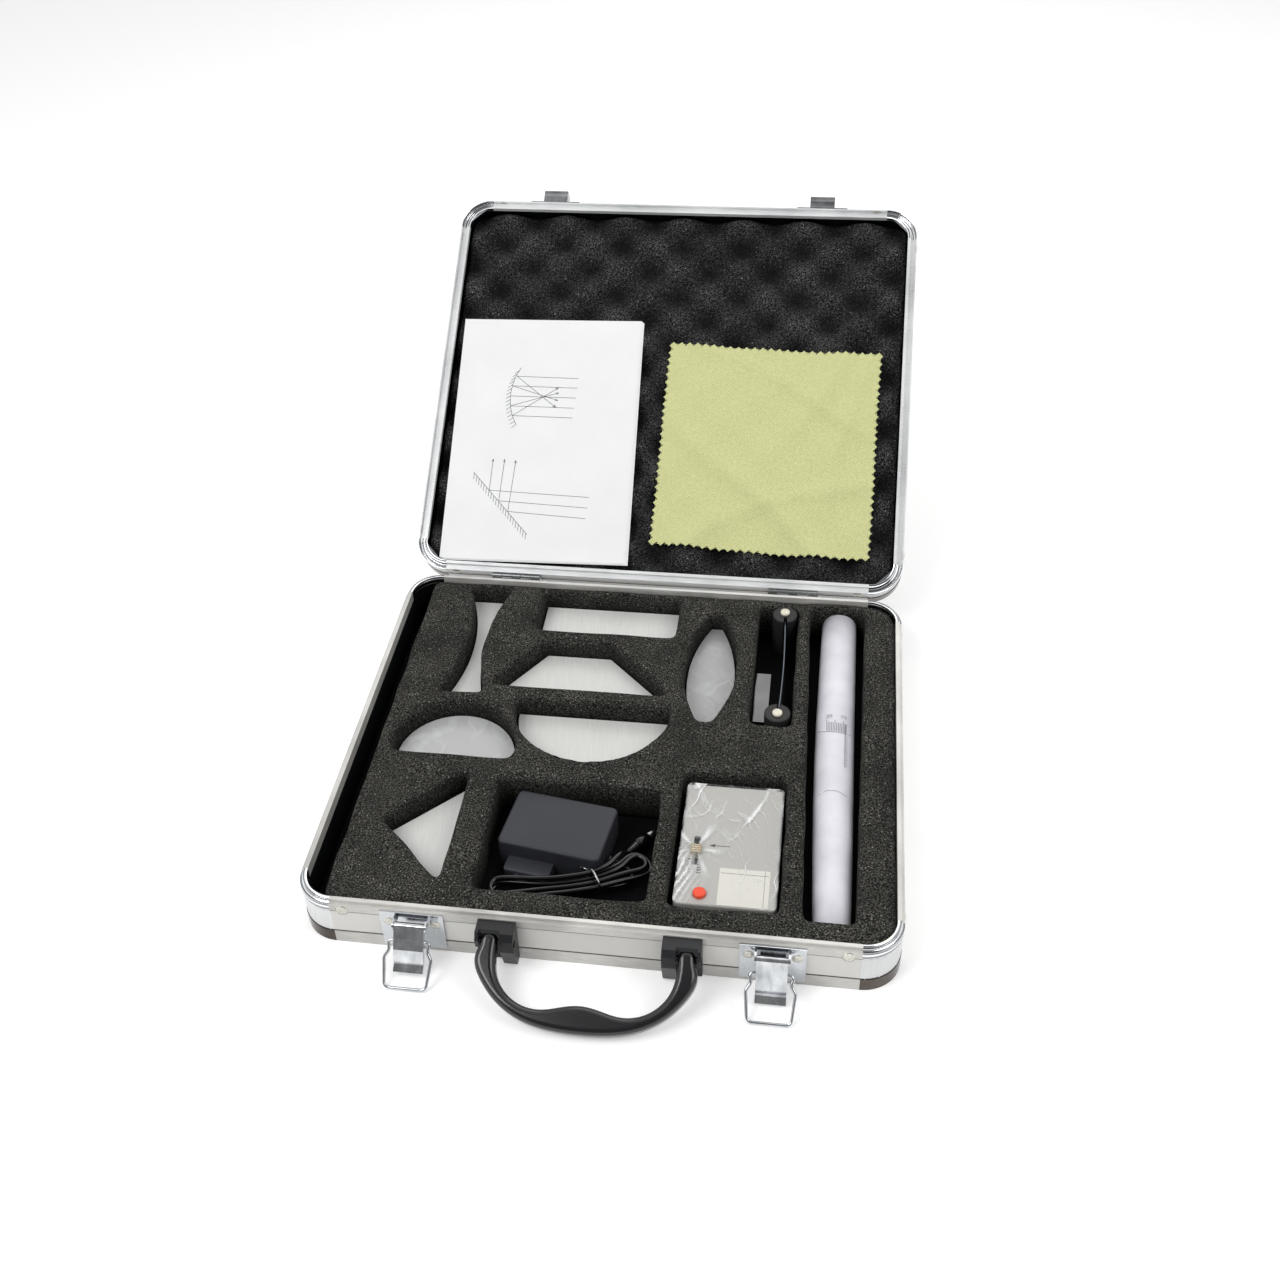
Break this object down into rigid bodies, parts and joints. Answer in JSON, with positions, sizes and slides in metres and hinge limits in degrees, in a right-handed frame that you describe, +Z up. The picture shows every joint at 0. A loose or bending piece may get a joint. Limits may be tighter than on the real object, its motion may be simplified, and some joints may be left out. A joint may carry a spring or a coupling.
{
  "type": "laser ray box optics kit",
  "caption": "Ray optics teaching kit: a laser ray box, acrylic lenses and blocks, a bendable mirror and a mains adapter, bedded in foam in an aluminium-edged carry case with latches.",
  "frame": {"origin": "centre of the case's underside, on the surface that it stands on", "axes": "+X to the right seen from the latches, +Y to the hinges, +Z up"},
  "size_m": [0.3818, 0.6807, 0.2304],
  "materials": {
    "rail_aluminium": "satin extruded",
    "corner_chrome": "bright",
    "corner_cap_dark": "smoked bright",
    "skin_silver": "fine grained silver skin",
    "panel_silver": "fine grained silver skin",
    "rivet_steel": "bright domed",
    "steel_plated": "nickel plated",
    "wire_steel": "nickel plated wire",
    "lining_black": "black lining",
    "foam_black": "closed cell foam, matt",
    "lid_foam_black": "open cell foam, matt",
    "bracket_black": "moulded",
    "handle_black": "moulded, satin",
    "acrylic_film": "clear acrylic under protective film",
    "mirror_film": "mirror film",
    "post_black": "turned, black",
    "paper_white": "uncoated",
    "shell_grey": "fine texture",
    "board_green": "solder mask",
    "laser_brass": "turned",
    "window_clear": "clear acrylic",
    "socket_black": "moulded",
    "screw_zinc": "zinc plated",
    "bag_clear": "thin clear film",
    "knob_black": "ridged",
    "button_orange": "moulded",
    "adapter_black": "fine texture",
    "prong_nickel": "nickel plated",
    "cord_black": "flexible sheath",
    "tie_black": "coated wire tie",
    "booklet_white": "coated paper",
    "cloth_green": "microfibre"
  },
  "bodies": {
    "case": {"base_bottom_panel": "panel_silver", "base_wall_panels": "skin_silver", "base_corner_posts": "corner_chrome", "base_edge_rails": "rail_aluminium", "base_rim_corners": "corner_chrome", "base_bottom_corners": "corner_cap_dark", "base_rivets": "rivet_steel", "base_lining": "lining_black", "foam_floor_pad": "foam_black", "foam_insert": "foam_black", "handle_brackets": "bracket_black", "latch_plates": "steel_plated", "latch_pins": "steel_plated", "hinge_base_leaves": "steel_plated", "hinge_pins": "steel_plated"},
    "lid": {"lid_top_panel": "panel_silver", "lid_wall_panels": "skin_silver", "lid_corner_posts": "corner_chrome", "lid_edge_rails": "rail_aluminium", "lid_rim_corners": "corner_chrome", "lid_top_corners": "corner_cap_dark", "lid_rivets": "rivet_steel", "lid_foam": "lid_foam_black", "latch_strikes": "steel_plated", "hinge_lid_leaves": "steel_plated", "booklet": "booklet_white", "cleaning_cloth": "cloth_green"},
    "carry_handle": {"handle": "handle_black"},
    "lever_left": {"latch_lever_left": "steel_plated"},
    "lever_right": {"latch_lever_right": "steel_plated"},
    "bail_left": {"latch_bail_left": "wire_steel"},
    "bail_right": {"latch_bail_right": "wire_steel"},
    "ray_box": {"ray_box_lower_shell": "shell_grey", "ray_box_cover": "shell_grey", "ray_box_circuit_board": "board_green", "laser_modules": "laser_brass", "ray_box_window": "window_clear", "ray_box_socket": "socket_black", "ray_box_screws": "screw_zinc", "ray_box_bag": "bag_clear"},
    "slide_switch": {"slide_switch_knob": "knob_black"},
    "button": {"push_button": "button_orange"},
    "biconcave": {"biconcave_lens": "acrylic_film"},
    "block": {"rectangular_block": "acrylic_film"},
    "trapezoid": {"trapezoid_block": "acrylic_film"},
    "biconvex": {"biconvex_lens": "acrylic_film"},
    "half_moon": {"plano_convex_lens": "acrylic_film"},
    "semicircle": {"semicircular_block": "acrylic_film"},
    "prism": {"right_angle_prism": "acrylic_film"},
    "mirror_set": {"mirror_posts": "post_black", "mirror_strip": "mirror_film"},
    "plane_mirror": {"flat_mirror": "mirror_film"},
    "chart_roll": {"paper_roll": "paper_white"},
    "adapter": {"adapter_housing": "adapter_black", "adapter_prongs": "prong_nickel", "power_cord": "cord_black", "cord_hank": "cord_black", "cord_tie": "tie_black", "cord_plug": "socket_black"}
  },
  "joints": [
    {"name": "lid_hinge", "type": "hinge", "parent": "case", "child": "lid", "pos_m": [0, 0.1669, 0.0386], "axis": [1, 0, 0], "range_deg": [0, 146.3]},
    {"name": "handle_pivot", "type": "hinge", "parent": "case", "child": "carry_handle", "pos_m": [0, -0.1746, 0.026], "axis": [1, 0, 0], "range_deg": [-47, 55]},
    {"name": "lever_left_pivot", "type": "hinge", "parent": "case", "child": "lever_left", "pos_m": [-0.112, -0.1712, 0.029], "axis": [1, 0, 0], "range_deg": [-87, 28]},
    {"name": "bail_left_pivot", "type": "hinge", "parent": "lever_left", "child": "bail_left", "pos_m": [-0.112, -0.17649, 0.02162], "axis": [-1, 0, 0], "range_deg": [-19, 161]},
    {"name": "lever_right_pivot", "type": "hinge", "parent": "case", "child": "lever_right", "pos_m": [0.112, -0.1712, 0.029], "axis": [1, 0, 0], "range_deg": [-97, 18]},
    {"name": "bail_right_pivot", "type": "hinge", "parent": "lever_right", "child": "bail_right", "pos_m": [0.112, -0.17512, 0.02081], "axis": [-1, 0, 0], "range_deg": [-31, 149]},
    {"name": "ray_box_lift", "type": "slide", "parent": "case", "child": "ray_box", "axis": [0, 0, -1], "range_m": [-0.06, 0]},
    {"name": "biconcave_lift", "type": "slide", "parent": "case", "child": "biconcave", "axis": [0, 0, -1], "range_m": [-0.05, 0]},
    {"name": "block_lift", "type": "slide", "parent": "case", "child": "block", "axis": [0, 0, -1], "range_m": [-0.05, 0]},
    {"name": "trapezoid_lift", "type": "slide", "parent": "case", "child": "trapezoid", "axis": [0, 0, -1], "range_m": [-0.05, 0]},
    {"name": "biconvex_lift", "type": "slide", "parent": "case", "child": "biconvex", "axis": [0, 0, -1], "range_m": [-0.05, 0]},
    {"name": "half_moon_lift", "type": "slide", "parent": "case", "child": "half_moon", "axis": [0, 0, -1], "range_m": [-0.05, 0]},
    {"name": "semicircle_lift", "type": "slide", "parent": "case", "child": "semicircle", "axis": [0, 0, -1], "range_m": [-0.05, 0]},
    {"name": "prism_lift", "type": "slide", "parent": "case", "child": "prism", "axis": [0, 0, -1], "range_m": [-0.05, 0]},
    {"name": "mirror_set_lift", "type": "slide", "parent": "case", "child": "mirror_set", "axis": [0, 0, -1], "range_m": [-0.06, 0]},
    {"name": "plane_mirror_lift", "type": "slide", "parent": "case", "child": "plane_mirror", "axis": [0, 0, -1], "range_m": [-0.05, 0]},
    {"name": "chart_roll_lift", "type": "slide", "parent": "case", "child": "chart_roll", "axis": [0, 0, -1], "range_m": [-0.06, 0]},
    {"name": "adapter_lift", "type": "slide", "parent": "case", "child": "adapter", "axis": [0, 0, -1], "range_m": [-0.06, 0]},
    {"name": "switch_slide", "type": "slide", "parent": "ray_box", "child": "slide_switch", "axis": [0, 1, 0], "range_m": [-0.007, 0.007]},
    {"name": "button_press", "type": "slide", "parent": "ray_box", "child": "button", "axis": [0, 0, -1], "range_m": [0, 0.0015], "stiffness_N_per_m": 150}
  ]
}
